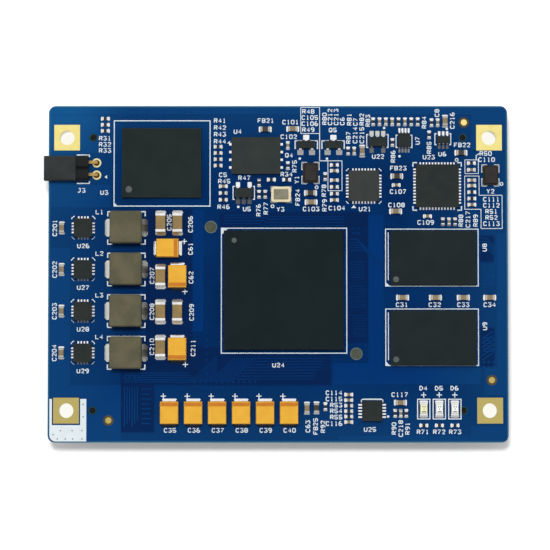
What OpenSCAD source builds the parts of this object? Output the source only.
// System on module: a processor board that stacks on a carrier board through two connectors.
// The origin is the centre of the four mounting holes on the board's underside, and +Z points
// to the component side. Lengths are in millimetres and turns in degrees.

/* [Board] */
// Length of the board along X
board_w = 75; // [74:0.5:90]
// Width of the board along Y
board_d = 55; // [54:0.5:70]
// Thickness of the board
board_t = 1.6; // [1:0.1:2.4]
// Radius of the board's corners
board_corner_r = 1.2; // [0.5:0.1:2.5]
// Height of the plated lands above the board's faces
land_t = 0.05; // [0.03:0.01:0.08]

/* [Mounting holes] */
// Distance of the hole centres from the short edges
hole_edge_x = 3; // [2.7:0.1:3.4]
// Distance of the hole centres and the connectors' centrelines from the long edges
hole_edge_y = 5.2; // [4.6:0.1:5.8]
// Bore of the plated mounting holes
hole_d = 2.4; // [2:0.1:3]
// Side of the square lands round the mounting holes
mount_land = 4.2; // [3.8:0.1:4.8]
// Wall of the plating in the holes
plating_t = 0.05; // [0.03:0.01:0.1]

/* [Fiducial marks] */
// Diameter of the board's three alignment marks
fiducial_d = 1; // [0.8:0.1:1.5]
// Diameter of the processor's two alignment marks
cpu_fiducial_d = 1.7; // [1:0.1:2]

/* [Processor] */
// Side of the processor package
cpu_w = 19.5; // [17:0.5:22]
// Thickness of the processor's substrate
cpu_substrate_t = 0.36; // [0.2:0.02:0.6]
// Thickness of the processor's mould cap
cpu_cap_t = 1; // [0.6:0.1:1.6]
// Pitch of the processor's solder balls
cpu_ball_pitch = 0.8; // [0.65:0.05:1.27]
// Diameter of the processor's solder balls
cpu_ball_d = 0.5; // [0.35:0.05:0.6]
// Height of the processor's solder balls after reflow
cpu_ball_h = 0.4; // [0.25:0.05:0.5]

/* [Memory and storage] */
// Length of a memory package along X
memory_l = 14; // [11:0.5:14.5]
// Width of a memory package along Y
memory_w = 9; // [7.5:0.5:10.5]
// Length of the storage package along X
storage_l = 13; // [11:0.5:14]
// Width of the storage package along Y
storage_w = 11.5; // [10:0.5:13]
// Thickness of the substrates
array_substrate_t = 0.2; // [0.15:0.01:0.4]
// Thickness of the mould caps
array_cap_t = 0.55; // [0.4:0.05:0.9]
// Pitch of the memory's solder balls
memory_ball_pitch = 0.8; // [0.65:0.05:1]
// Pitch of the storage's solder balls
storage_ball_pitch = 0.5; // [0.5:0.05:0.65]
// Diameter of the solder balls
array_ball_d = 0.36; // [0.3:0.02:0.42]
// Height of the solder balls after reflow
array_ball_h = 0.25; // [0.15:0.01:0.28]

/* [Leadless packages] */
// Side of the network interface package
network_w = 7; // [6:0.5:8]
// Side of the serial bus interface package
bus_w = 5; // [4.5:0.5:6]
// Side of a voltage regulator package
regulator_w = 3; // [2.5:0.1:3.5]
// Side of the supervisor package
supervisor_w = 3.3; // [2.8:0.1:3.6]
// Length of the boot flash package
flash_l = 8; // [7:0.5:8.5]
// Width of the boot flash package
flash_w = 6; // [5:0.5:7]
// Height of the leadless packages
leadless_h = 0.85; // [0.7:0.05:1]
// Height of the lead ends at the package's foot
leadless_lead_h = 0.2; // [0.1:0.02:0.3]
// How far the solder runs out past a leadless package
leadless_toe = 0.4; // [0.2:0.05:0.45]
// How far the solder runs out past the supervisor package
supervisor_toe = 0.6; // [0.3:0.05:0.7]

/* [Power stages] */
// Side of a power inductor
inductor_w = 5.2; // [4:0.2:5.8]
// Height of a power inductor's core
inductor_h = 2.9; // [1.5:0.1:4.5]
// Width of an inductor's terminals
inductor_terminal_w = 2.75; // [1.5:0.05:3.2]
// Length of a bulk capacitor over its terminals
bulk_l = 4.1; // [3.6:0.1:4.4]
// Width of a bulk capacitor
bulk_w = 3.05; // [2.6:0.05:3.3]
// Height of a bulk capacitor
bulk_h = 1.9; // [1.2:0.1:2.5]
// Width of a bulk capacitor's terminals
bulk_terminal_w = 2.2; // [1.6:0.1:2.4]
// Thickness of the formed terminals
terminal_t = 0.15; // [0.1:0.01:0.2]
// Distance from one power stage to the next
stage_pitch = 6.8; // [6.5:0.1:7]

/* [Chip components] */
// Length of the small chips
small_l = 1; // [0.8:0.05:1.1]
// Width of the small chips
small_w = 0.5; // [0.4:0.05:0.6]
// Height of the resistors
resistor_h = 0.35; // [0.25:0.05:0.5]
// Height of the small ceramic capacitors
small_capacitor_h = 0.5; // [0.3:0.05:0.6]
// Length of the medium chips
medium_l = 1.6; // [1.4:0.1:1.8]
// Width of the medium chips
medium_w = 0.8; // [0.7:0.05:0.95]
// Height of the medium chips
medium_h = 0.8; // [0.5:0.05:1]
// Length of the large ceramic capacitors
large_l = 3.2; // [2.8:0.1:3.4]
// Width of the large ceramic capacitors
large_w = 1.6; // [1.25:0.05:1.8]
// Height of the large ceramic capacitors
large_h = 1.6; // [1:0.1:2]
// Length of the lamps
led_l = 2.2; // [1.8:0.1:2.4]
// Width of the lamps
led_w = 1.25; // [1:0.05:1.4]
// Thickness of the lamps' substrates
led_substrate_t = 0.3; // [0.2:0.05:0.4]
// Height of the lamps' lenses
led_lens_h = 0.5; // [0.3:0.05:0.8]

/* [Clock parts] */
// Long side of the crystals and the oscillator
clock_l = 3.2; // [2.8:0.1:3.4]
// Short side of the crystals and the oscillator
clock_w = 2.5; // [2:0.1:2.7]
// Height of the crystals' bases
crystal_base_h = 0.45; // [0.3:0.05:0.7]
// Height of the oscillator's base
oscillator_base_h = 0.8; // [0.5:0.05:1]
// Height of the metal lids
clock_lid_h = 0.25; // [0.15:0.05:0.4]

/* [Leaded packages] */
// Thickness of the bent leads
lead_t = 0.12; // [0.08:0.01:0.18]
// Height of the leaded bodies' undersides above the board
lead_standoff = 0.1; // [0.05:0.01:0.15]
// Height of the leaded bodies
leaded_h = 0.95; // [0.7:0.05:1.2]

/* [Jumper] */
// Distance of the header's pin holes from the board's short edge
header_edge = 7.85; // [7:0.1:8.5]
// Distance between the header's two pins
header_pitch = 2; // [2:0.05:2.54]
// Side of the square header pins
header_pin = 0.5; // [0.4:0.02:0.64]
// Length of the header's insulator
insulator_l = 2.05; // [1.5:0.05:2.5]
// Height of the header's insulator
insulator_h = 2; // [1.6:0.1:2.5]
// How far the header's pins reach into the shunt
header_reach = 4.2; // [3.5:0.1:5]
// Wall of the shunt's housing behind its contact
shunt_wall = 0.4; // [0.3:0.05:0.8]
// Clear height between the shunt and the board
shunt_clearance = 0.05; // [0.02:0.01:0.1]
// How far the header's pins stand out under the board
header_tail = 0.8; // [0.5:0.1:1.5]

/* [Connectors] */
// Pitch of the contacts
connector_pitch = 0.8; // [0.6:0.05:1]
// Width of the housings
connector_w = 6; // [5.4:0.1:6.6]
// Height of the housings below the board
connector_h = 4; // [3.5:0.1:6]
// Distance from the last contact to the housing's end
connector_end = 3.9; // [3.6:0.1:4.2]
// Least room between a housing's end and the mounting lands
connector_land_gap = 0.8; // [0.4:0.1:1.2]
// Clear height over the contacts' solder tails
connector_relief = 0.3; // [0.25:0.01:0.45]
// Width of the mating slot
slot_w = 2.4; // [2:0.1:2.8]
// Depth of the contact grooves in the slot's walls
groove_depth = 0.5; // [0.4:0.05:0.6]
// Width of the contact grooves
groove_w = 0.45; // [0.4:0.01:0.48]
// Thickness of the contact strip
contact_t = 0.15; // [0.1:0.01:0.18]
// Width of the contact strip
contact_w = 0.35; // [0.25:0.01:0.38]
// How far a contact's spring stands towards the slot
contact_spring = 0.6; // [0.4:0.05:0.8]
// How far the solder tails reach past the housing
contact_tail = 0.9; // [0.6:0.05:1]
// Diameter of the locating pegs
peg_d = 0.9; // [0.7:0.05:1.2]
// Distance from the last contact to the locating peg
peg_offset = 2.6; // [2.2:0.1:2.8]

/* [Hidden] */
$fn = 48;

// Colours of the finishes
MASK_BLUE = "#1c4f8a";
GOLD = "#e8c774";
OLIVE = "#6f6f45";
TIN = "#d9dce0";
LAMINATE = "#2f4a3a";
MOULD_BLACK = "#23292c";
MOULD_GREY = "#2f3638";
CORE_OLIVE = "#62604c";
BULK_YELLOW = "#ebb43c";
CERAMIC_TAN = "#a58246";
RESISTOR_BLACK = "#1d1d20";
BEAD_GREY = "#4a463f";
LAMP_WHITE = "#f2ecd8";
CRYSTAL_BROWN = "#4b413c";
LID_GOLD = "#cdb98a";
INSULATOR_BLACK = "#17181a";
SHUNT_GREY = "#323234";

// Small allowances shared by many pieces
cut_past = 1;
draft = 0.1;
chip_skin = 0.02;
dimple_depth = 0.04;
peg_clearance = 0.05;
peg_short = 0.4;

// Places are [x, y, turn], on the component side. They are drawn for a board of 75 by 55 and spread with it.
spread_x = board_w / 75;
spread_y = board_d / 55;
function at(x, y) = [x * spread_x, y * spread_y];
function spread(places) = [for (p = places) [p[0] * spread_x, p[1] * spread_y, p[2]]];
function run(x, y, turn, count = 1, step = [0, 0]) =
    [for (k = [0 : count - 1]) [x + k * step[0], y + k * step[1], turn]];
function row(count, pitch) = [for (k = [0 : 1 : count - 1]) (k - (count - 1) / 2) * pitch];

// Mounting holes and connector places
hole_x = board_w / 2 - hole_edge_x;
hole_y = board_d / 2 - hole_edge_y;
connector_room = 2 * hole_x - mount_land - 2 * connector_land_gap;
connector_positions = floor((connector_room - 2 * connector_end) / connector_pitch) + 1;
connector_row = (connector_positions - 1) * connector_pitch;
connector_l = connector_row + 2 * connector_end;
peg_x = connector_row / 2 + peg_offset;
peg_l = board_t - peg_short;

// Main packages
CPU_AT = at(0.9, -2.7);
MEMORY_UPPER_AT = at(25.3, 2.55);
MEMORY_LOWER_AT = at(25.3, -10.5);
STORAGE_AT = at(-19, 18.1);
FLASH_AT = spread([[-3.6, 19.3, 0]]);
NETWORK_AT = spread([[26, 14.35, 0]]);
BUS_AT = spread([[14, 14.35, 0]]);
SUPERVISOR_AT = spread([[15.3, -22.35, 0]]);

// Power stages, from the top of the board down
stage_count = 4;
function stage_y(k) = 7.5 * spread_y - k * stage_pitch;
function each_stage(x, turn) = [for (k = [0 : stage_count - 1]) [x * spread_x, stage_y(k), turn]];
REGULATORS = each_stage(-31.8, 0);
INDUCTORS = each_stage(-24.75, 0);
INPUT_CAPACITORS = each_stage(-35.3, 90);
output_x = -19.15 * spread_x;
output_far_x = -16.4 * spread_x;
BULK_CAPACITORS = concat(
    [[-18 * spread_x, stage_y(0) - 3.35, 0]],
    [[output_far_x, stage_y(1) - 1.2, -90], [output_far_x, stage_y(3) + 0.6, -90]],
    spread(run(-17.67, -22.65, 90, 6, [3.89, 0]))
);
LARGE_CAPACITORS = [
    [output_x, stage_y(0) + 0.8, 90], [output_far_x, stage_y(0) + 0.8, 90], [output_x, stage_y(1) - 1.15, 90],
    [output_x, stage_y(2) - 0.1, 90], [output_far_x, stage_y(2) - 0.1, 90], [output_x, stage_y(3) + 0.9, 90]
];

// Chip components by kind
MEDIUM_CAPACITORS = concat(
    INPUT_CAPACITORS,
    spread([[2.4, 23.7, 0], [5.4, 11.7, 0], [13.75, 20.1, 90], [27.3, 25, 90], [19.2, 10.2, 0]]),
    spread([[20.3, -3.9, 0], [25.65, -3.9, 0], [30.2, -3.9, 0], [34.5, -3.9, 0]]),
    spread([[4.7, -21.9, 90], [19.9, -21, 0]])
);
BEADS = spread([[-2.1, 23.65, 0], [29.9, 19.8, 0], [19.4, 15.95, 0], [5.3, 13.2, 0], [6.25, -21.85, 90]]);
TOP_ROW = run(15.55, 24.9, 90, 8, [1.04, 0]);
RESISTORS = spread(concat(
    run(-28.25, 25.4, 0, 3, [0, -1]),
    run(-9.8, 20.8, 0, 4, [0, -1.03]),
    run(-8.95, 13.2, 0, 2, [0, -1.1]),
    [[-3.1, 14.9, 90], [-3.1, 13, 90], [-2.1, 13, 90], [-1.1, 15.4, 0], [1.4, 15.4, 0], [1.6, 17.7, 90]],
    [for (k = [0, 4, 6, 7]) TOP_ROW[k]],
    [[11.45, 20.1, 90], [18.7, 21.5, 90], [24.7, 22.75, 90], [25.1, 24.75, 90]],
    [[9.2, 17.8, 0], [9.2, 14.2, 0], [9.2, 13.1, 0], [7.7, 15.9, 90]],
    [[31.6, 18.1, 0], [31.65, 13.35, 0], [31.65, 12.3, 0], [26.9, 8.5, 90], [28.9, 8.5, 90]],
    [[7.7, -21.65, 90], [19.05, -22.75, 90], [20.85, -22.75, 90]],
    run(11.5, -21.5, 0, 3, [0, -0.88]),
    run(23.7, -24.7, 0, 3, [2.53, 0])
));
SMALL_CAPACITORS = spread(concat(
    [for (k = [1, 2, 3, 5]) TOP_ROW[k]],
    [[-8.95, 14.3, 0], [1.6, 21, 90], [12.45, 20.1, 90], [26.1, 24.75, 90]],
    [[9.2, 16.85, 0], [9.2, 15.3, 0], [9.2, 12.05, 0], [19.3, 14.5, 0], [24.4, 9.4, 0], [27.9, 8.5, 90]],
    [[31.6, 17, 0], [31.65, 15.3, 0], [31.65, 14.4, 0], [31.65, 11.3, 0]],
    [[11.5, -19.7, 0], [11.5, -20.6, 0], [11.5, -24.15, 0], [19.95, -22.75, 90]]
));
LEDS = spread(run(23.7, -22.05, 90, 3, [2.53, 0]));

// Leaded packages and clock parts
TRANSISTORS = spread([[4.6, 21.1, 0], [9.05, 21.1, 0]]);
FIVE_LEAD_ICS = spread([[-5.6, 13.2, 0], [16.25, 21.6, 180]]);
SIX_LEAD_ICS = spread([[27, 21.9, 0]]);
EIGHT_LEAD_ICS = spread([[20.6, 21.85, 0]]);
CRYSTALS = spread([[5.3, 16.5, 90], [34.7, 16.1, 90]]);
OSCILLATORS = spread([[0.5, 12.95, 0]]);

// Alignment marks
FIDUCIALS = spread([[30.4, 24.8, 0], [-27.6, -23.9, 0], [34.8, -17.35, 0]]);
CPU_FIDUCIALS = [for (side = [-1, 1])
    [CPU_AT[0] + side * (cpu_w / 2 + 2.1), CPU_AT[1] - side * (cpu_w / 2 + 0.6), 0]];

// Decoupling capacitors on the underside, seen from below
under_step = 2.4;
under_columns = row(6, under_step);
UNDERSIDE_CAPACITORS = concat(
    [for (x = under_columns, y = row(6, under_step)) [CPU_AT[0] + x, y - CPU_AT[1], 0]],
    [for (at = [MEMORY_UPPER_AT, MEMORY_LOWER_AT], x = under_columns, y = row(2, under_step))
        [at[0] + x, y - at[1], 0]]
);

// Jumper places
header_x = header_edge - board_w / 2;
header_gap = 1.15;
header_y = hole_y - connector_w / 2 - header_gap - header_pitch / 2;
header_front = 1.25;
header_w = 2 * header_pitch;
header_pin_z = insulator_h / 2;
header_hole_d = 1.4 * header_pin + 0.1;
header_land_d = header_hole_d + 0.7;
shunt_x = header_x - header_front - insulator_l;
shunt_contact_t = 0.2;
shunt_contact_w = 0.9;
shunt_contact_back = header_reach + 0.4;
shunt_pocket_l = shunt_contact_back + shunt_contact_t;
shunt_l = shunt_pocket_l + shunt_wall;
shunt_h = insulator_h - 2 * shunt_clearance;

// Sizes of the chips: [length, width, height] and the length of each end
SMALL_RESISTOR = [small_l, small_w, resistor_h];
SMALL_CAPACITOR = [small_l, small_w, small_capacitor_h];
MEDIUM_CHIP = [medium_l, medium_w, medium_h];
LARGE_CHIP = [large_l, large_w, large_h];
LED_CHIP = [led_l, led_w, led_substrate_t];
small_end = 0.25;
medium_end = 0.35;
large_end = 0.5;
led_end = 0.35;
small_toe = 0.22;
medium_toe = 0.25;
large_toe = 0.45;
led_toe = 0.3;
inductor_toe = 0.7;
bulk_toe = 0.25;
contact_toe = 0.3;

// Solder beads: how far they spread past a chip's sides, their thickness at the rim and their steepest rise
bead_spread = 0.08;
bead_rim = 0.03;
bead_slope = 0.7;

// Leadless packages: width, depth, lead pitch, leads on each side, leads on each end, lead width and length
function leadless(w, d, pitch, sides, ends, lead_w, lead_l) = [w, d, pitch, sides, ends, lead_w, lead_l];
function pack_w(p) = p[0];
function pack_d(p) = p[1];
function pack_pitch(p) = p[2];
function pack_sides(p) = p[3];
function pack_ends(p) = p[4];
function pack_lead_w(p) = p[5];
function pack_lead_l(p) = p[6];
NETWORK = leadless(network_w, network_w, 0.5, 12, 12, 0.25, 0.4);
BUS = leadless(bus_w, bus_w, 0.5, 8, 8, 0.25, 0.4);
REGULATOR = leadless(regulator_w, regulator_w, 0.5, 4, 4, 0.25, 0.35);
SUPERVISOR = leadless(supervisor_w, supervisor_w, 0.5, 5, 0, 0.25, 0.4);
FLASH = leadless(flash_l, flash_w, 1.27, 4, 0, 0.4, 0.5);
thermal_gap = 0.45;

// Leaded packages: width, depth, span over the leads, lead width, lead places along the upper and lower sides
// and width of the soldered lands
function leaded(w, d, span, lead_w, upper, lower, land_w) = [w, d, span, lead_w, upper, lower, land_w];
function leaded_w(p) = p[0];
function leaded_d(p) = p[1];
function leaded_span(p) = p[2];
function leaded_lead_w(p) = p[3];
function leaded_upper(p) = p[4];
function leaded_lower(p) = p[5];
function leaded_land_w(p) = p[6];
TRANSISTOR = leaded(2.9, 1.3, 2.5, 0.42, [0], row(2, 1.9), 1);
FIVE_LEAD = leaded(2.9, 1.6, 2.8, 0.4, row(2, 1.9), row(3, 0.95), 0.68);
SIX_LEAD = leaded(2, 1.25, 2.1, 0.25, row(3, 0.65), row(3, 0.65), 0.4);
EIGHT_LEAD = leaded(2, 2.3, 3.2, 0.22, row(4, 0.5), row(4, 0.5), 0.32);
lead_knee = 0.1;
lead_toe = 0.4;
lead_solder_h = 0.07;
lead_land_cut = 0.1;

// Heights of the formed terminals and leads above the board
terminal_gap = 0.05;
foot_z = terminal_t / 2;
bulk_half = bulk_l / 2 - terminal_t - terminal_gap;
lead_exit = lead_standoff + leaded_h / 2;

// Connector heights, measured down from the board's underside
connector_floor = 1;
slot_end = 1;
mouth_lead_in = 0.35;
polarising_chamfer = 0.8;
contact_tip_gap = 0.35;
contact_y = slot_w / 2 + groove_depth - contact_t / 2;

// Puts the children at each place on the component side.
module place(places) {
    for (p = places) translate([p[0], p[1], board_t]) rotate(p[2]) children();
}

// Turns the children over to the underside, where their +Z points down.
module underside() {
    rotate([180, 0, 0]) children();
}

// Puts the children at each place on the underside.
module place_under(places) {
    underside() for (p = places) translate([p[0], p[1], 0]) rotate(p[2]) children();
}

// A profile drawn in X and Z, w wide across Y.
module across(w) {
    rotate([90, 0, 0]) linear_extrude(w, center = true) children();
}

// A rectangle with round corners, centred on the origin.
module rounded_outline(w, d, r) {
    square([w - 2 * r, d], center = true);
    square([w, d - 2 * r], center = true);
    for (x = [-1, 1], y = [-1, 1]) translate([x * (w / 2 - r), y * (d / 2 - r)]) circle(r);
}

// A plate centred on the origin that stands on it.
module plate(w, d, h) {
    translate([-w / 2, -d / 2, 0]) cube([w, d, h]);
}

// A block whose four sides lean in by lean over its height.
module leaning_block(w, d, h, lean) {
    intersection() {
        across(d) leaning_profile(w, h, lean);
        rotate(90) across(w) leaning_profile(d, h, lean);
    }
}

module leaning_profile(w, h, lean) {
    polygon([[-w / 2, 0], [w / 2, 0], [w / 2 - lean, h], [lean - w / 2, h]]);
}

// A moulded body: widest along a band at the parting line, leaning in above and below it.
module moulded_body(w, d, h, parting, band) {
    intersection() {
        across(d) moulded_profile(w, h, parting, band);
        rotate(90) across(w) moulded_profile(d, h, parting, band);
    }
}

module moulded_profile(w, h, parting, band) {
    half = w / 2;
    polygon([
        [draft - half, 0], [half - draft, 0], [half, parting - band / 2], [half, parting + band / 2],
        [half - draft, h], [draft - half, h], [-half, parting + band / 2], [-half, parting - band / 2]
    ]);
}

// Outline of a bent strip of thickness t along a path of points on its middle line.
function unit(v) = v / norm(v);
function turned_right(v) = [v[1], -v[0]];
function strip_side(path, i) =
    let (
        last = len(path) - 1,
        ahead = turned_right(unit(path[min(i + 1, last)] - path[min(i, last - 1)])),
        behind = turned_right(unit(path[max(i, 1)] - path[max(i - 1, 0)])),
        both = ahead + behind
    ) 2 * both / (both * both);
function strip_points(path, t) = concat(
    [for (i = [0 : len(path) - 1]) path[i] + strip_side(path, i) * t / 2],
    [for (i = [len(path) - 1 : -1 : 0]) path[i] - strip_side(path, i) * t / 2]
);
module strip(path, t) {
    polygon(strip_points(path, t));
}

// A solder wedge that runs toe out over the board and climbs rise up the end face at x = face.
module solder_joint(face, toe, rise, w) {
    across(w) polygon([[face, 0], [face + toe, 0], [face, rise]]);
}

// Outline of a soldered land w wide from x = from to x = to, with its outer corners cut off.
module land_outline(from, to, w, cut) {
    polygon([
        [from, -w / 2], [to - cut, -w / 2], [to, cut - w / 2],
        [to, w / 2 - cut], [to - cut, w / 2], [from, w / 2]
    ]);
}

// A solder bead with a cut toe that climbs the end face, w wide, at x = face.
module solder_bead(face, toe, rise, w) {
    land_w = w + 2 * bead_spread;
    top = min(rise, bead_slope * toe);
    intersection() {
        across(land_w) polygon([[face, 0], [face + toe, 0], [face + toe, bead_rim], [face, top]]);
        linear_extrude(top) land_outline(face, face + toe, land_w, toe / 2);
    }
}

// The children at both ends of a piece, each facing outwards along X.
module both_ends() {
    for (side = [0, 180]) rotate(side) children();
}

// Chip components, with a body between two metal ends
module chip_body(size, end) {
    translate([0, 0, chip_skin]) plate(size[0] - 2 * end, size[1] - 2 * chip_skin, size[2] - 2 * chip_skin);
}

module chip_ends(size, end) {
    edge = min(end, size[2]) / 5;
    outer = size[0] / 2;
    top = size[2];
    both_ends() across(size[1])
        polygon([[outer - end, 0], [outer, 0], [outer, top - edge], [outer - edge, top], [outer - end, top]]);
}

module chip_joints(size, toe) {
    both_ends() solder_joint(size[0] / 2, toe, 0.6 * size[2], size[1]);
}

module chip_beads(size, toe) {
    both_ends() solder_bead(size[0] / 2, toe, 0.6 * size[2], size[1]);
}

// Ball grid packages, stacked up from the board: balls, substrate and mould cap
module solder_ball(d, h) {
    waist = d / 2;
    neck = 0.7 * waist;
    rotate_extrude() polygon([[0, 0], [neck, 0], [waist, h / 2], [neck, h], [0, h]]);
}

module grid_substrate(at, w, d, ball_h, t) {
    translate([at[0], at[1], board_t + ball_h]) plate(w, d, t);
}

module grid_mould_cap(at, w, d, base_h, t, dimple_at, dimple_d) {
    translate([at[0], at[1], board_t + base_h]) difference() {
        leaning_block(w, d, t, draft);
        translate([dimple_at[0], dimple_at[1], t - dimple_depth]) cylinder(d = dimple_d, h = cut_past);
    }
}

// Leadless packages, with lead ends let into the foot of a moulded block
module at_leads(p) {
    for (y = row(pack_sides(p), pack_pitch(p))) both_ends() translate([pack_w(p) / 2, y, 0]) children();
    for (y = row(pack_ends(p), pack_pitch(p)))
        rotate(90) both_ends() translate([pack_d(p) / 2, y, 0]) children();
}

module leadless_leads(p) {
    lead_l = pack_lead_l(p);
    lead_w = pack_lead_w(p);
    inset = 2 * (lead_l + thermal_gap);
    at_leads(p) translate([-lead_l, -lead_w / 2, 0]) cube([lead_l, lead_w, leadless_lead_h]);
    plate(pack_w(p) - inset, pack_d(p) - inset, leadless_lead_h);
}

module leadless_body(p) {
    dimple_in = 0.16 * pack_d(p);
    difference() {
        plate(pack_w(p), pack_d(p), leadless_h);
        leadless_leads(p);
        translate([dimple_in - pack_w(p) / 2, pack_d(p) / 2 - dimple_in, leadless_h - dimple_depth])
            cylinder(r = dimple_in / 2.5, h = cut_past);
    }
}

module leadless_joints(p, toe = leadless_toe) {
    at_leads(p) solder_joint(0, toe, 0.8 * leadless_lead_h, pack_lead_w(p));
}

// Terminals that leave a body at exit_z, bend down its end and turn in under it
module folded_terminals(half, exit_z, foot, w) {
    down_x = half + terminal_gap + terminal_t / 2;
    both_ends() across(w)
        strip([[half, exit_z], [down_x, exit_z], [down_x, foot_z], [half - foot, foot_z]], terminal_t);
}

module folded_joints(half, w, rise, toe) {
    both_ends() solder_bead(half + terminal_gap + terminal_t, toe, rise, w);
}

// Leaded packages, with bent leads that step down to the board
module at_bent_leads(p) {
    for (x = leaded_upper(p)) translate([x, 0, 0]) rotate(90) children();
    for (x = leaded_lower(p)) translate([x, 0, 0]) rotate(-90) children();
}

module leaded_body(p) {
    translate([0, 0, lead_standoff]) moulded_body(leaded_w(p), leaded_d(p), leaded_h, leaded_h / 2, lead_t);
}

module bent_leads(p) {
    half = leaded_d(p) / 2;
    at_bent_leads(p) across(leaded_lead_w(p)) strip([
        [half, lead_exit], [half + lead_knee, lead_exit],
        [half + 2 * lead_knee, lead_t / 2], [leaded_span(p) / 2, lead_t / 2]
    ], lead_t);
}

// Solder on a land wider than the lead, which stands round the lead's foot.
module bent_lead_joints(p) {
    from = leaded_d(p) / 2 + 2 * lead_knee;
    tip = leaded_span(p) / 2;
    lead_w = leaded_lead_w(p);
    at_bent_leads(p) difference() {
        linear_extrude(lead_solder_h)
            land_outline(from, tip + lead_toe, leaded_land_w(p), leaded_land_w(p) * lead_land_cut);
        translate([from - cut_past, -lead_w / 2, -cut_past])
            cube([tip - from + cut_past, lead_w, 2 * cut_past]);
    }
}

// Clock parts: a ceramic base with hollowed corners and a metal lid
clock_corner_r = 0.18;
clock_land_l = 1.1;
clock_land_w = 0.95;
clock_land_out = 0.14;
module clock_base(h) {
    translate([0, 0, land_t]) difference() {
        plate(clock_l, clock_w, h);
        for (x = [-1, 1], y = [-1, 1]) translate([x * clock_l / 2, y * clock_w / 2, -cut_past])
            cylinder(r = clock_corner_r, h = h + 2 * cut_past);
    }
}

module clock_lid(base_h, inset) {
    translate([0, 0, land_t + base_h])
        leaning_block(clock_l - 2 * inset, clock_w - 2 * inset, clock_lid_h, draft);
}

module clock_lands() {
    x = clock_l / 2 + clock_land_out - clock_land_l / 2;
    y = clock_w / 2 + clock_land_out - clock_land_w / 2;
    for (side = [-1, 1], end = [-1, 1]) translate([end * x, side * y, 0])
        plate(clock_land_l, clock_land_w, land_t);
}

// Holes through the board
module drill(d) {
    translate([0, 0, -cut_past]) cylinder(d = d, h = board_t + 2 * cut_past);
}

module at_mounting_holes() {
    for (x = [-hole_x, hole_x], y = [-hole_y, hole_y]) translate([x, y, 0]) children();
}

module at_peg_holes() {
    for (x = [-peg_x, peg_x], y = [-hole_y, hole_y]) translate([x, y, 0]) children();
}

module at_header_pins() {
    for (y = row(2, header_pitch)) translate([header_x, header_y + y, 0]) children();
}

module circuit_board() {
    color(MASK_BLUE) difference() {
        linear_extrude(board_t) rounded_outline(board_w, board_d, board_corner_r);
        at_mounting_holes() drill(hole_d + 2 * plating_t);
        at_peg_holes() drill(peg_d + 2 * peg_clearance);
        at_header_pins() drill(header_hole_d);
    }
}

// Square land on each face, joined by the plated wall of the hole.
module mounting_lands() {
    color(GOLD) at_mounting_holes() difference() {
        union() {
            translate([0, 0, board_t]) plate(mount_land, mount_land, land_t);
            cylinder(d = hole_d + 2 * plating_t, h = board_t);
            translate([0, 0, -land_t]) plate(mount_land, mount_land, land_t);
        }
        drill(hole_d);
    }
}

module fiducial_lands() {
    color(GOLD) place(FIDUCIALS) cylinder(d = fiducial_d, h = land_t);
}

module processor_fiducials() {
    color(OLIVE) place(CPU_FIDUCIALS) cylinder(d = cpu_fiducial_d, h = land_t);
}

// Round land on each face and the solder that fills the hole round the pin.
module header_hole_lands() {
    color(GOLD) at_header_pins() difference() {
        union() {
            translate([0, 0, board_t]) cylinder(d = header_land_d, h = land_t);
            cylinder(d = header_hole_d, h = board_t);
            translate([0, 0, -land_t]) cylinder(d = header_land_d, h = land_t);
        }
        translate([0, 0, -cut_past]) plate(header_pin, header_pin, board_t + 2 * cut_past);
    }
}

// Processor
module processor_substrate() {
    color(LAMINATE) grid_substrate(CPU_AT, cpu_w, cpu_w, cpu_ball_h, cpu_substrate_t);
}

module processor_mould_cap() {
    corner = cpu_w / 2 - 1.7;
    color(MOULD_BLACK)
        grid_mould_cap(CPU_AT, cpu_w, cpu_w, cpu_ball_h + cpu_substrate_t, cpu_cap_t, [-corner, corner], 0.9);
}

module processor_solder_balls() {
    side = floor((cpu_w - 2.6) / cpu_ball_pitch) + 1;
    color(TIN) for (x = row(side, cpu_ball_pitch), y = row(side, cpu_ball_pitch))
        translate([CPU_AT[0] + x, CPU_AT[1] + y, board_t]) solder_ball(cpu_ball_d, cpu_ball_h);
}

// Memory
module memory_substrate(at) {
    color(LAMINATE) grid_substrate(at, memory_l, memory_w, array_ball_h, array_substrate_t);
}

module memory_mould_cap(at) {
    dimple_at = [0.9 - memory_l / 2, 1 - memory_w / 2];
    color(MOULD_GREY)
        grid_mould_cap(at, memory_l, memory_w, array_ball_h + array_substrate_t, array_cap_t, dimple_at, 1);
}

module memory_upper_substrate() { memory_substrate(MEMORY_UPPER_AT); }
module memory_upper_mould_cap() { memory_mould_cap(MEMORY_UPPER_AT); }
module memory_lower_substrate() { memory_substrate(MEMORY_LOWER_AT); }
module memory_lower_mould_cap() { memory_mould_cap(MEMORY_LOWER_AT); }

// Two banks of three ball rows, with the middle left free.
module memory_solder_balls() {
    long_count = floor((memory_l - 1.6) / memory_ball_pitch) + 1;
    rows = row(9, memory_ball_pitch);
    color(TIN) for (at = [MEMORY_UPPER_AT, MEMORY_LOWER_AT])
        for (x = row(long_count, memory_ball_pitch), k = [0, 1, 2, 6, 7, 8])
            translate([at[0] + x, at[1] + rows[k], board_t]) solder_ball(array_ball_d, array_ball_h);
}

// Storage
module storage_substrate() {
    color(LAMINATE) grid_substrate(STORAGE_AT, storage_l, storage_w, array_ball_h, array_substrate_t);
}

module storage_mould_cap() {
    dimple_at = [1.15 - storage_l / 2, 1.4 - storage_w / 2];
    color(MOULD_GREY) grid_mould_cap(
        STORAGE_AT, storage_l, storage_w, array_ball_h + array_substrate_t, array_cap_t, dimple_at, 1.1);
}

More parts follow.
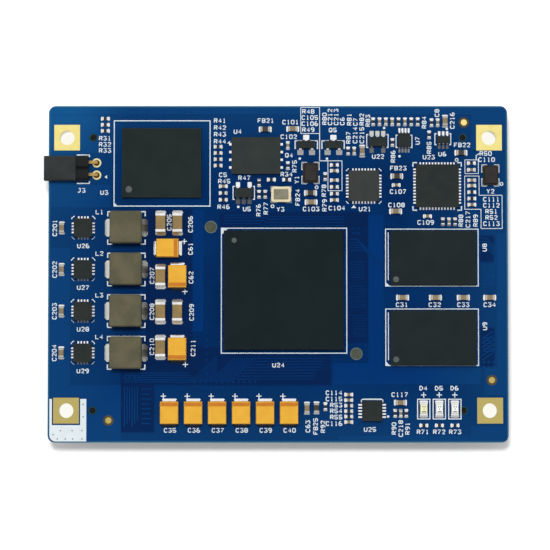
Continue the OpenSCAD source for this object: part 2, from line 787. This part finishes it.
// Three square rings of balls in the middle of the package.
module storage_solder_balls() {
    side = 14;
    rings = 3;
    places = row(side, storage_ball_pitch);
    color(TIN) for (i = [0 : side - 1], j = [0 : side - 1])
        if (min(i, j, side - 1 - i, side - 1 - j) < rings)
            translate([STORAGE_AT[0] + places[i], STORAGE_AT[1] + places[j], board_t])
                solder_ball(array_ball_d, array_ball_h);
}

// Leadless packages
module boot_flash_body() { color(MOULD_BLACK) place(FLASH_AT) leadless_body(FLASH); }
module network_interface_body() { color(MOULD_BLACK) place(NETWORK_AT) leadless_body(NETWORK); }
module bus_interface_body() { color(MOULD_BLACK) place(BUS_AT) leadless_body(BUS); }
module supervisor_body() { color(MOULD_BLACK) place(SUPERVISOR_AT) leadless_body(SUPERVISOR); }
module regulator_body(k) { color(MOULD_BLACK) place([REGULATORS[k]]) leadless_body(REGULATOR); }
module regulator_1_body() { regulator_body(0); }
module regulator_2_body() { regulator_body(1); }
module regulator_3_body() { regulator_body(2); }
module regulator_4_body() { regulator_body(3); }

module leadframe_pads() {
    color(TIN) {
        place(FLASH_AT) leadless_leads(FLASH);
        place(NETWORK_AT) leadless_leads(NETWORK);
        place(BUS_AT) leadless_leads(BUS);
        place(SUPERVISOR_AT) leadless_leads(SUPERVISOR);
        place(REGULATORS) leadless_leads(REGULATOR);
    }
}

// Power inductors
inductor_foot = 1.3;
inductor_exit = 1.1;
module inductor_core(k) {
    edge = 0.4;
    color(CORE_OLIVE) place([INDUCTORS[k]]) translate([0, 0, terminal_t]) intersection() {
        linear_extrude(inductor_h) rounded_outline(inductor_w, inductor_w, edge);
        across(inductor_w + cut_past) chamfered_top(inductor_w, inductor_h, edge / 2);
        rotate(90) across(inductor_w + cut_past) chamfered_top(inductor_w, inductor_h, edge / 2);
    }
}

module chamfered_top(w, h, edge) {
    half = w / 2;
    polygon([[-half, 0], [half, 0], [half, h - edge], [half - edge, h], [edge - half, h], [-half, h - edge]]);
}

module inductor_1_core() { inductor_core(0); }
module inductor_2_core() { inductor_core(1); }
module inductor_3_core() { inductor_core(2); }
module inductor_4_core() { inductor_core(3); }

module inductor_terminals() {
    color(TIN) place(INDUCTORS)
        folded_terminals(inductor_w / 2, inductor_exit, inductor_foot, inductor_terminal_w);
}

// Bulk capacitors
bulk_foot = 0.8;
module bulk_capacitor_bodies() {
    color(BULK_YELLOW) place(BULK_CAPACITORS) translate([0, 0, terminal_t])
        moulded_body(2 * bulk_half, bulk_w, bulk_h, bulk_h / 2, terminal_t);
}

module bulk_capacitor_terminals() {
    exit_z = terminal_t + bulk_h / 2;
    color(TIN) place(BULK_CAPACITORS) folded_terminals(bulk_half, exit_z, bulk_foot, bulk_terminal_w);
}

// Chip components
module output_capacitor_bodies() {
    color(CERAMIC_TAN) place(LARGE_CAPACITORS) chip_body(LARGE_CHIP, large_end);
}

module ceramic_capacitor_bodies() {
    color(CERAMIC_TAN) {
        place(MEDIUM_CAPACITORS) chip_body(MEDIUM_CHIP, medium_end);
        place(SMALL_CAPACITORS) chip_body(SMALL_CAPACITOR, small_end);
    }
}

module resistor_bodies() {
    color(RESISTOR_BLACK) place(RESISTORS) chip_body(SMALL_RESISTOR, small_end);
}

module ferrite_bead_bodies() {
    color(BEAD_GREY) place(BEADS) chip_body(MEDIUM_CHIP, medium_end);
}

module chip_end_caps() {
    color(TIN) {
        place(LARGE_CAPACITORS) chip_ends(LARGE_CHIP, large_end);
        place(concat(MEDIUM_CAPACITORS, BEADS)) chip_ends(MEDIUM_CHIP, medium_end);
        place(SMALL_CAPACITORS) chip_ends(SMALL_CAPACITOR, small_end);
        place(RESISTORS) chip_ends(SMALL_RESISTOR, small_end);
        place(LEDS) chip_ends(LED_CHIP, led_end);
    }
}

// Lamps
module led_substrates() {
    color(LAMP_WHITE) place(LEDS) chip_body(LED_CHIP, led_end);
}

module led_lenses() {
    color(LAMP_WHITE) place(LEDS) translate([0, 0, led_substrate_t - chip_skin])
        leaning_block(led_l - 2 * led_end, led_w, led_lens_h, draft);
}

// Clock parts
module crystal_bases() { color(CRYSTAL_BROWN) place(CRYSTALS) clock_base(crystal_base_h); }
module crystal_lids() { color(CRYSTAL_BROWN) place(CRYSTALS) clock_lid(crystal_base_h, 0.2); }
module oscillator_base() { color(LAMP_WHITE) place(OSCILLATORS) clock_base(oscillator_base_h); }
module oscillator_lid() { color(LID_GOLD) place(OSCILLATORS) clock_lid(oscillator_base_h, 0.4); }

// Leaded packages
module transistor_bodies() { color(MOULD_BLACK) place(TRANSISTORS) leaded_body(TRANSISTOR); }
module transistor_leads() { color(TIN) place(TRANSISTORS) bent_leads(TRANSISTOR); }

module small_ic_bodies() {
    color(MOULD_BLACK) {
        place(FIVE_LEAD_ICS) leaded_body(FIVE_LEAD);
        place(SIX_LEAD_ICS) leaded_body(SIX_LEAD);
        place(EIGHT_LEAD_ICS) leaded_body(EIGHT_LEAD);
    }
}

module small_ic_leads() {
    color(TIN) {
        place(FIVE_LEAD_ICS) bent_leads(FIVE_LEAD);
        place(SIX_LEAD_ICS) bent_leads(SIX_LEAD);
        place(EIGHT_LEAD_ICS) bent_leads(EIGHT_LEAD);
    }
}

// Jumper: a right-angle header of two pins and the push-on shunt that bridges them
module header_pin_shape() {
    z = board_t + header_pin_z;
    back = header_front + insulator_l + header_reach;
    across(header_pin) strip([[-back, z], [0, z], [0, -header_tail]], header_pin);
}

// A block l long along X whose section across is w by h with its edges cut off.
module edged_bar(l, w, h, edge) {
    rotate([90, 0, 90]) linear_extrude(l) polygon([
        [edge - w / 2, 0], [w / 2 - edge, 0], [w / 2, edge], [w / 2, h - edge],
        [w / 2 - edge, h], [edge - w / 2, h], [-w / 2, h - edge], [-w / 2, edge]
    ]);
}

module header_insulator() {
    edge = 0.35;
    color(INSULATOR_BLACK) difference() {
        union() for (y = row(2, header_pitch)) translate([shunt_x, header_y + y, board_t])
            edged_bar(insulator_l, header_pitch, insulator_h, edge);
        at_header_pins() header_pin_shape();
    }
}

module header_pins() {
    color(GOLD) at_header_pins() header_pin_shape();
}

shunt_inner_w = header_pitch + header_pin + 2 * shunt_contact_t;
module shunt_housing() {
    edge = 0.2;
    color(SHUNT_GREY) translate([shunt_x, header_y, board_t + header_pin_z]) difference() {
        translate([-shunt_l, 0, -shunt_h / 2]) edged_bar(shunt_l, header_w, shunt_h, edge);
        translate([-shunt_pocket_l, -shunt_inner_w / 2, -shunt_contact_w / 2])
            cube([shunt_pocket_l + cut_past, shunt_inner_w, shunt_contact_w]);
    }
}

// A U of spring strip that grips the outer sides of both pins.
module shunt_contact() {
    side = (shunt_inner_w - shunt_contact_t) / 2;
    back = -shunt_contact_back - shunt_contact_t / 2;
    front = -0.5;
    color(GOLD) translate([shunt_x, header_y, board_t + header_pin_z - shunt_contact_w / 2])
        linear_extrude(shunt_contact_w)
            strip([[front, side], [back, side], [back, -side], [front, -side]], shunt_contact_t);
}

// Stacking connectors, drawn with +Z pointing down from the board
module at_connector(side) {
    translate([0, side * hole_y, 0]) underside() children();
}

module connector_outline() {
    l = connector_l / 2;
    w = connector_w / 2;
    polygon([[-l, -w], [l - polarising_chamfer, -w], [l, polarising_chamfer - w], [l, w], [-l, w]]);
}

// The mating slot with one groove for each contact in both of its long walls.
function comb_edge(side) = [for (x = row(connector_positions, connector_pitch), p = [
        [-groove_w / 2, 0], [-groove_w / 2, groove_depth], [groove_w / 2, groove_depth], [groove_w / 2, 0]])
    [x + p[0], side * (slot_w / 2 + p[1])]];
module comb_outline() {
    end = connector_row / 2 + slot_end;
    upper = comb_edge(1);
    lower = comb_edge(-1);
    polygon(concat(
        [[-end, slot_w / 2]], upper, [[end, slot_w / 2], [end, -slot_w / 2]],
        [for (i = [len(lower) - 1 : -1 : 0]) lower[i]], [[-end, -slot_w / 2]]
    ));
}

module connector_housing() {
    foot_l = 2 * (connector_end - peg_offset);
    slit_l = connector_row + groove_w;
    mouth_l = connector_row + 2 * slot_end;
    color(INSULATOR_BLACK) difference() {
        union() {
            linear_extrude(connector_h) connector_outline();
            for (x = [-peg_x, peg_x]) translate([x, 0, -peg_l])
                cylinder(d = peg_d, h = peg_l + connector_relief);
        }
        translate([0, 0, -cut_past])
            plate(2 * peg_x - foot_l, connector_w + cut_past, cut_past + connector_relief);
        translate([0, 0, connector_floor]) linear_extrude(connector_h) comb_outline();
        for (side = [-1, 1]) translate([0, side * (slot_w + groove_depth) / 2, 0])
            plate(slit_l, groove_depth, connector_floor + cut_past / 2);
        rotate(90) across(mouth_l) polygon([
            [-slot_w / 2, connector_h - mouth_lead_in], [slot_w / 2, connector_h - mouth_lead_in],
            [slot_w / 2 + mouth_lead_in, connector_h], [slot_w / 2 + mouth_lead_in, connector_h + cut_past],
            [-slot_w / 2 - mouth_lead_in, connector_h + cut_past], [-slot_w / 2 - mouth_lead_in, connector_h]
        ]);
    }
}

module at_contacts() {
    for (x = row(connector_positions, connector_pitch)) translate([x, 0, 0]) for (turn = [90, -90])
        rotate(turn) children();
}

// A formed strip: a solder tail, a stem that stands in its groove and a spring that bows into the slot.
module connector_contacts() {
    tail_z = contact_t / 2;
    color(GOLD) at_contacts() across(contact_w) strip([
        [connector_w / 2 + contact_tail, tail_z], [contact_y, tail_z],
        [contact_y, connector_floor + 0.6], [contact_y - contact_spring, connector_h - 1.2],
        [contact_y - contact_t / 2, connector_h - contact_tip_gap]
    ], contact_t);
}

module contact_joints() {
    at_contacts() solder_joint(connector_w / 2 + contact_tail, contact_toe, contact_t, contact_w);
}

module connector_upper_housing() { at_connector(1) connector_housing(); }
module connector_upper_contacts() { at_connector(1) connector_contacts(); }
module connector_lower_housing() { at_connector(-1) connector_housing(); }
module connector_lower_contacts() { at_connector(-1) connector_contacts(); }

// Underside capacitors
module underside_capacitor_bodies() {
    color(CERAMIC_TAN) place_under(UNDERSIDE_CAPACITORS) chip_body(SMALL_CAPACITOR, small_end);
}

module underside_end_caps() {
    color(TIN) place_under(UNDERSIDE_CAPACITORS) chip_ends(SMALL_CAPACITOR, small_end);
}

// Solder
module solder_joints() {
    color(TIN) {
        place(RESISTORS) chip_beads(SMALL_RESISTOR, small_toe);
        place(SMALL_CAPACITORS) chip_beads(SMALL_CAPACITOR, small_toe);
        place(concat(MEDIUM_CAPACITORS, BEADS)) chip_beads(MEDIUM_CHIP, medium_toe);
        place(LARGE_CAPACITORS) chip_beads(LARGE_CHIP, large_toe);
        place(LEDS) chip_beads(LED_CHIP, led_toe);
        place(INDUCTORS) folded_joints(inductor_w / 2, inductor_terminal_w, inductor_exit / 2, inductor_toe);
        place(BULK_CAPACITORS) folded_joints(bulk_half, bulk_terminal_w, bulk_h / 4, bulk_toe);
        place(FLASH_AT) leadless_joints(FLASH);
        place(NETWORK_AT) leadless_joints(NETWORK);
        place(BUS_AT) leadless_joints(BUS);
        place(SUPERVISOR_AT) leadless_joints(SUPERVISOR, supervisor_toe);
        place(REGULATORS) leadless_joints(REGULATOR);
        place(TRANSISTORS) bent_lead_joints(TRANSISTOR);
        place(FIVE_LEAD_ICS) bent_lead_joints(FIVE_LEAD);
        place(SIX_LEAD_ICS) bent_lead_joints(SIX_LEAD);
        place(EIGHT_LEAD_ICS) bent_lead_joints(EIGHT_LEAD);
    }
}

module underside_solder_joints() {
    color(TIN) {
        place_under(UNDERSIDE_CAPACITORS) chip_joints(SMALL_CAPACITOR, small_toe);
        for (side = [-1, 1]) at_connector(side) contact_joints();
    }
}

// Tinned lands under the corners of the clock parts.
module clock_solder_lands() {
    color(TIN) place(concat(CRYSTALS, OSCILLATORS)) clock_lands();
}

circuit_board();
mounting_lands();
fiducial_lands();
processor_fiducials();
header_hole_lands();
processor_substrate();
processor_mould_cap();
processor_solder_balls();
memory_upper_substrate();
memory_upper_mould_cap();
memory_lower_substrate();
memory_lower_mould_cap();
memory_solder_balls();
storage_substrate();
storage_mould_cap();
storage_solder_balls();
boot_flash_body();
network_interface_body();
bus_interface_body();
regulator_1_body();
regulator_2_body();
regulator_3_body();
regulator_4_body();
supervisor_body();
leadframe_pads();
inductor_1_core();
inductor_2_core();
inductor_3_core();
inductor_4_core();
inductor_terminals();
bulk_capacitor_bodies();
bulk_capacitor_terminals();
output_capacitor_bodies();
ceramic_capacitor_bodies();
resistor_bodies();
ferrite_bead_bodies();
chip_end_caps();
led_substrates();
led_lenses();
crystal_bases();
crystal_lids();
oscillator_base();
oscillator_lid();
transistor_bodies();
transistor_leads();
small_ic_bodies();
small_ic_leads();
header_insulator();
header_pins();
shunt_housing();
shunt_contact();
connector_upper_housing();
connector_upper_contacts();
connector_lower_housing();
connector_lower_contacts();
underside_capacitor_bodies();
underside_end_caps();
solder_joints();
underside_solder_joints();
clock_solder_lands();
